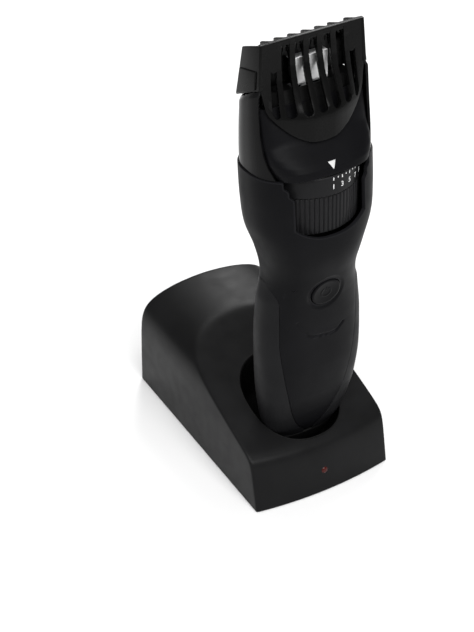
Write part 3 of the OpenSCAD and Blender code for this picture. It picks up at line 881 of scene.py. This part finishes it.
neck = paint(neck_skin(), mat_body, "groomer")
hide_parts("neck_cover")
paint(pointer_skin(), mat_print, "groomer")


# ---------------------------------------------------------------- length dial

RIB_DEGREES = 5.0
MARK_R = DIAL_R + 0.05
NUMBER_SIZE = 2.5
NUMBER_S = 122.2
TICK_TOP = 125.7
TICK_HALF = 0.17


def dial_radius(s, degrees):
    """Radius of the dial: a plain number band above and soft ribs below."""
    if s > KNURL_TOP:
        return DIAL_R - 0.35 * (1 - smooth(KNURL_TOP, KNURL_TOP + 0.5, s)) - 0.2 * smooth(
            DIAL_S1 - 0.4, DIAL_S1, s)
    phase = (degrees / RIB_DEGREES) % 1
    rib = smooth(0.0, 0.2, phase) * (1 - smooth(0.62, 0.82, phase))
    ends = smooth(DIAL_S0, DIAL_S0 + 0.6, s) * (1 - 0.9 * smooth(KNURL_TOP - 0.5, KNURL_TOP, s))
    body_r = lerp(DIAL_R - 1.15, DIAL_R - 0.95, (s - DIAL_S0) / (KNURL_TOP - DIAL_S0))
    return body_r + 0.55 * rib * ends


def dial_skin():
    heights = ([lerp(DIAL_S0, DIAL_S0 + 1, k / 6) for k in range(6)]
               + [lerp(DIAL_S0 + 1, KNURL_TOP - 0.6, k / 10) for k in range(10)]
               + [lerp(KNURL_TOP - 0.6, KNURL_TOP + 0.6, k / 10) for k in range(10)]
               + [lerp(KNURL_TOP + 0.6, DIAL_S1, k / 10) for k in range(11)])
    steps = int((DIAL_TO - KNURL_FROM) / 0.5)
    rows = []
    for s in heights:
        row = []
        start = KNURL_FROM if s < KNURL_TOP else BAND_FROM
        for k in range(-24, steps + 1):
            degrees = max(KNURL_FROM + 0.5 * k, start) + min(k + 24, 24) * 1e-4
            r = dial_radius(s, degrees)
            a = math.radians(degrees)
            row.append((r * math.sin(a), DIAL_Y - r * math.cos(a), s))
        rows.append(row)
    obj = grid("dial_drum_skin", rows)
    thicken(obj, 0.9, 0.12, 2)
    return obj


def wrapped_text(name, words, size, degrees, s):
    """A number lying on the dial's band, centred at an angle."""
    curve = bpy.data.curves.new(name, "FONT")
    curve.body = words
    curve.size = size
    curve.align_x = "CENTER"
    curve.align_y = "CENTER"
    curve.extrude = 0.02
    curve.offset = 0.03
    flat = bpy.data.objects.new(name + "_flat", curve)
    bpy.context.scene.collection.objects.link(flat)
    graph = bpy.context.evaluated_depsgraph_get()
    mesh = bpy.data.meshes.new_from_object(flat.evaluated_get(graph))
    bpy.data.objects.remove(flat)
    for vert in mesh.vertices:
        a = math.radians(degrees) + vert.co.x / DIAL_R
        r = MARK_R + vert.co.z
        vert.co = IN_TRIMMER @ Vector((r * math.sin(a), DIAL_Y - r * math.cos(a), s + vert.co.y))
    return add_object(name, mesh)


def dial_marks():
    """Numbers for the comb lengths and a tick above each, as one printed piece."""
    marks = []
    for length in range(1, 11):
        degrees = (length - 1) * DEGREES_PER_MM
        if length % 2:
            marks.append(wrapped_text("number", str(length), NUMBER_SIZE, degrees, NUMBER_S))
        tall = 1.1 if length % 2 else 0.6
        rows = []
        for s in (TICK_TOP - tall, TICK_TOP):
            row = []
            for k in range(3):
                a = math.radians(degrees) + (k - 1) * TICK_HALF / DIAL_R
                row.append((MARK_R * math.sin(a), DIAL_Y - MARK_R * math.cos(a), s))
            rows.append(row)
        tick = grid("tick", rows)
        thicken(tick, 0.04)
        marks.append(tick)
    return join("dial_marks", marks)


dial = paint(dial_skin(), mat_dial, "dial")
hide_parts("dial_drum")
paint(dial_marks(), mat_print, "dial")


# ---------------------------------------------------------------- power button

def button_skin():
    """Slightly dished round button with a soft rim and a raised line-in-a-ring mark."""
    place = (IN_TRIMMER @ Matrix.Translation((0, BUTTON_Y, BUTTON_S))
             @ Matrix.Rotation(math.pi / 2 + BUTTON_TILT, 4, "X"))
    profile = [(BUTTON_R - 0.05, -2.4), (BUTTON_R - 0.05, -0.35), (BUTTON_R - 0.14, -0.08),
               (BUTTON_R - 0.4, 0.08), (BUTTON_R - 0.8, 0.1)]
    profile += [(r, 0.1 - 0.32 * (1 - (r / (BUTTON_R - 0.8)) ** 2)) for r in
                [(BUTTON_R - 0.8) * k / 26 for k in range(25, 0, -1)]]
    rows = []
    for r, z in profile:
        row = []
        for j in range(120):
            a = 2 * math.pi * j / 120
            x, y = r * math.cos(a), r * math.sin(a)
            ring = abs(math.hypot(x, y) - 1.9) < 0.22 and abs(a - math.pi / 2) > 0.5
            bar = abs(x) < 0.2 and 0.6 < y < 2.4
            row.append((x, y, z + 0.12 * (ring or bar)))
        rows.append(row)
    obj = grid("power_button_skin", rows, place, closed=True)
    bm = bmesh.new()
    bm.from_mesh(obj.data)
    bmesh.ops.holes_fill(bm, edges=[e for e in bm.edges if e.is_boundary])
    bmesh.ops.recalc_face_normals(bm, faces=bm.faces)
    bm.to_mesh(obj.data)
    bm.free()
    return obj


button = paint(button_skin(), mat_button, "power_button")
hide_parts("power_button")


# ---------------------------------------------------------------- comb

def bulge(x):
    """Swell of the comb's front: flat in the middle and falling away to the sides."""
    return 1 - (max(abs(x) - 3, 0) / (COMB_SIDE - 3)) ** 1.5


def comb_face(x, k):
    """Front of the comb: k is 1 at the bib and 0 at the straight top edge."""
    return COMB_FRONT + k * (BIB_Y + 0.2 - COMB_FRONT) * bulge(x)


LEAN_BACK = ((BIB_S1 - 1, 1.0), (BIB_S1 + 0.6, 0.97), (BIB_S1 + 2.6, 0.86), (BIB_S1 + 5, 0.68),
             (BIB_S1 + 9, 0.44), (BIB_S1 + 13, 0.22), (BIB_S1 + 17, 0.08), (COMB_TOP - 4, 0.0))


def rib_outline(x):
    """Side view of a rib, whose front lies just under the comb's front."""
    outside = [(comb_face(x, k) + 0.4, s) for s, k in LEAN_BACK]
    top = [(COMB_FRONT + 0.4, COMB_TOP - 0.2), (COMB_REAR - 0.5, COMB_REAR_TOP + 0.2),
           (COMB_REAR, COMB_REAR_TOP - 0.3), (COMB_REAR - 0.3, COMB_REAR_TOP - 1.2)]
    inside = [(COMB_FRONT + 4.4, COMB_TOP - 3.2), (COMB_FRONT + 3.2, COMB_TOP - 5),
              (COMB_FRONT + 1.5, BIB_S1 + 18.5), (COMB_FRONT + 1.5, BIB_S1 + 15),
              (comb_face(x, 0.68) + 1.8, BIB_S1 + 5), (comb_face(x, 1) + 1.2, BIB_S1 - 1)]
    return outside + top + inside


def bib_low(x):
    """Lower edge of the comb's front, which sweeps up to the foot of its sides."""
    return (BIB_S0 + BIB_RISE * min(abs(x) / BIB_HALF, 1) ** 2.25
            + BIB_CORNER * smooth(16.6, COMB_SIDE, abs(x)))


def slot_foot(x):
    """Height at which the slots end, round at the foot of each."""
    base = max(SLOT_BASE, bib_low(x) + 1.6)
    for centre, half in SLOTS:
        if abs(x - centre) < half:
            return base + half - math.sqrt(half * half - (x - centre) ** 2)
    near = min(SLOTS, key=lambda slot: abs(x - slot[0]))
    return base + near[1]


def comb_front():
    """Front of the comb in one piece with the bib, pierced by the slots."""
    columns = [-COMB_SIDE + 0.7 * k for k in range(5)]
    inside = []
    for centre, half in SLOTS:
        columns += [centre - half * math.cos(math.pi * k / 10) for k in range(11)]
        inside.append((centre - half, centre + half))
    columns += [COMB_SIDE - 0.7 * k for k in range(4, -1, -1)]
    low_rows, high_rows = 16, 44
    rows = []
    for i in range(low_rows + high_rows + 1):
        row = []
        for x in columns:
            foot = slot_foot(x)
            if i <= low_rows:
                s = lerp(bib_low(x), foot, i / low_rows)
            else:
                s = lerp(foot, COMB_TOP, (i - low_rows) / high_rows)
            k = LEAN_BACK[0][1] if s < LEAN_BACK[0][0] else along(LEAN_BACK, s)
            row.append((x, comb_face(x, k), s))
        rows.append(row)
    close_row = low_rows + high_rows * (SLOT_CLOSE - SLOT_BASE) / (COMB_TOP - SLOT_BASE)
    last_row = low_rows + high_rows - 2

    def keep(i, j):
        middle = (columns[j] + columns[j + 1]) / 2
        for k, (a, b) in enumerate(inside):
            if a < middle < b:
                top = close_row if k in (0, len(inside) - 1) else last_row
                return i < low_rows or i >= top
        return True

    front = grid("front", rows, keep=keep)
    tidy(front)
    thicken(front, 1.25, 0.25)
    return front


FLARE = 0.07
SIDE_X = 18.75
SIDE_T = 0.65
TAB_X = 19.5
TAB_T = 0.45
LEG_X = 17.4
LEG_T = 0.4
LEG_BACK = 2
LEG_FRONT = -3
BRIDGE_X = 18.3
BRIDGE_T = 1
BRIDGE_S0 = COMB_S0 + 7.2
BRIDGE_S1 = COMB_S0 + 10


def flare(obj):
    """Widens a piece of the comb towards its lower end."""
    back = IN_TRIMMER.inverted()
    for vert in obj.data.vertices:
        p = back @ vert.co
        share = min(max((COMB_TOP - p.z) / (COMB_TOP - COMB_S0), 0), 1)
        vert.co = IN_TRIMMER @ Vector((p.x * (1 + FLARE * share), p.y, p.z))
    return obj


def comb_skin():
    pieces = []
    for (left, half), (right, next_half) in zip(SLOTS, SLOTS[1:]):
        x = (left + half + right - next_half) / 2
        pieces.append(flare(plate("rib", rib_outline(x), x - 0.55, x + 0.55, "x", edge=0.22)))
    side_outline = [(COMB_FRONT - 0.6, COMB_S0 + SIDE_RISE), (COMB_FRONT - 0.35, COMB_S0 + 9),
                    (COMB_FRONT, COMB_TOP), (COMB_REAR, COMB_REAR_TOP), (7.6, COMB_S0 + 7),
                    (8.6, COMB_S0)]
    tab_outline = [(-3.6, COMB_S0 + 6.6), (-3.7, COMB_S0 + 13), (6.2, COMB_S0 + 10.6),
                   (7.9, COMB_S0 + 0.8)]
    leg = [(LEG_FRONT, BIB_S0 + 0.2), (LEG_BACK, BIB_S0 + 0.2), (LEG_BACK, BRIDGE_S1),
           (LEG_FRONT, BRIDGE_S1)]
    bridge = [(LEG_FRONT, BRIDGE_S0), (LEG_BACK, BRIDGE_S0), (LEG_BACK, BRIDGE_S1),
              (LEG_FRONT, BRIDGE_S1)]
    for side in (-1, 1):
        x = side * SIDE_X
        pieces.append(flare(plate("side", side_outline, x - SIDE_T, x + SIDE_T, "x", edge=0.3)))
        x = side * TAB_X
        pieces.append(flare(plate("tab", tab_outline, x - TAB_T, x + TAB_T, "x", edge=0.3)))
        x = side * LEG_X
        pieces.append(plate("leg", leg, x - LEG_T, x + LEG_T, "x", edge=0.1))
        x = side * BRIDGE_X
        pieces.append(plate("bridge", bridge, x - BRIDGE_T, x + BRIDGE_T, "x", edge=0.1))
    pieces.append(flare(comb_front()))
    bar = [(COMB_FRONT + 0.1, COMB_TOP - 2.2), (COMB_FRONT + 0.1, COMB_TOP + 0.05),
           (COMB_FRONT + 1.7, COMB_TOP - 0.1), (COMB_FRONT + 1.7, COMB_TOP - 2.2)]
    pieces.append(plate("bar", bar, -COMB_HALF, COMB_HALF, "x", edge=0.2))
    band = [(7.2, COMB_S0), (8.5, COMB_S0), (7.9, COMB_S0 + 7), (6.8, COMB_S0 + 7)]
    pieces.append(plate("band", band, -COMB_HALF, COMB_HALF, "x", edge=0.25))
    return join("comb_frame_skin", pieces)


SPRING_Y = -3.1
SPRING_FOOT = 154
SPRING_TOP = 163.8
SPRING_HALF = 6.9
SPRING_T = 0.4
SPRING_FOLD_T = 0.35


def spring_skin():
    """Bright spring plate in front of the blades, folded back over them at its top."""
    under_fold = SPRING_TOP - SPRING_FOLD_T
    over_foot = SPRING_FOOT + SPRING_FOLD_T
    inner_y = SPRING_Y + SPRING_T
    outline = [(SPRING_Y, SPRING_FOOT), (SPRING_Y, SPRING_TOP), (0.05, SPRING_TOP),
               (0.05, under_fold), (inner_y, under_fold), (inner_y, over_foot), (-0.7, over_foot),
               (-0.7, SPRING_FOOT)]
    return plate("blade_spring_skin", outline, -SPRING_HALF, SPRING_HALF, "x", edge=0.08)


spring = paint(spring_skin(), mat_blade, "groomer")
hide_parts("blade_spring")
comb = paint(comb_skin(), mat_comb, "comb")
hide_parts("comb_frame")


# ---------------------------------------------------------------- CAD nodes that show as they are

KEPT = {
    mat_dark: ("stand_base_plate", "inlet_jack", "inner_chassis", "tact_switch", "motor_mount",
               "head_block", "blade_holder", "comb_carriage"),
    mat_rubber: ("stand_feet", "base_seal", "button_seal", "shaft_seal"),
    mat_steel: ("stand_screws", "ballast_weight", "inlet_pin", "housing_screws", "battery_tabs",
                "motor_can", "dial_detent_spring", "motor_shaft"),
    mat_gold: ("stand_contact_pins", "base_contacts"),
    mat_board: ("stand_circuit_board", "circuit_board"),
    mat_blue: ("stand_capacitors",),
    mat_sleeve: ("battery_cell",),
    mat_coated: ("stationary_blade", "moving_blade"),
    mat_acetal: ("drive_cam", "blade_yoke"),
    mat_led: ("charge_led",),
}
for material, names in KEPT.items():
    for node_name in names:
        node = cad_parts[node_name]
        node.data.materials.clear()
        node.data.materials.append(material)


# ---------------------------------------------------------------- floor and light

FLOOR_HALF = 4
FLOOR_WHITE = 0.86
WORLD_STRENGTH = 0.3
MIDDLE = (0, -0.02, 0.09)


def make_floor():
    mesh = bpy.data.meshes.new("floor")
    corners = [(x * FLOOR_HALF, y * FLOOR_HALF, 0) for x, y in ((-1, -1), (1, -1), (1, 1), (-1, 1))]
    mesh.from_pydata(corners, [], [(0, 1, 2, 3)])
    floor = add_object("floor", mesh)
    material, _, shader = nodes_of("floor_white")
    shader.inputs["Base Color"].default_value = (FLOOR_WHITE, FLOOR_WHITE, FLOOR_WHITE, 1)
    shader.inputs["Roughness"].default_value = 0.9
    shader.inputs["Specular IOR Level"].default_value = 0.1
    mesh.materials.append(material)


def add_light(name, place, size, power):
    """Rectangular soft light at a place in metres, facing the middle of the object."""
    data = bpy.data.lights.new(name, "AREA")
    data.shape = "RECTANGLE"
    data.size, data.size_y = size
    data.energy = power
    light = bpy.data.objects.new(name, data)
    light.location = place
    light.rotation_euler = (Vector(MIDDLE) - Vector(place)).to_track_quat("-Z", "Y").to_euler()
    bpy.context.scene.collection.objects.link(light)


make_floor()
world = bpy.data.worlds.new("studio")
world.use_nodes = True
world.node_tree.nodes["Background"].inputs["Color"].default_value = (1, 1, 1, 1)
world.node_tree.nodes["Background"].inputs["Strength"].default_value = WORLD_STRENGTH
bpy.context.scene.world = world
add_light("front_top_panel", (-0.3, -0.7, 1.35), (1.1, 1.1), 22)
add_light("left_panel", (-1.1, 0.1, 0.55), (0.3, 0.9), 1.7)
add_light("ridge_panel", (0.08, -1.0, 0.75), (0.3, 0.3), 4)
add_light("back_right_panel", (0.69, 0.83, 0.9), (0.5, 0.6), 10)
bpy.context.scene.view_settings.view_transform = "Standard"
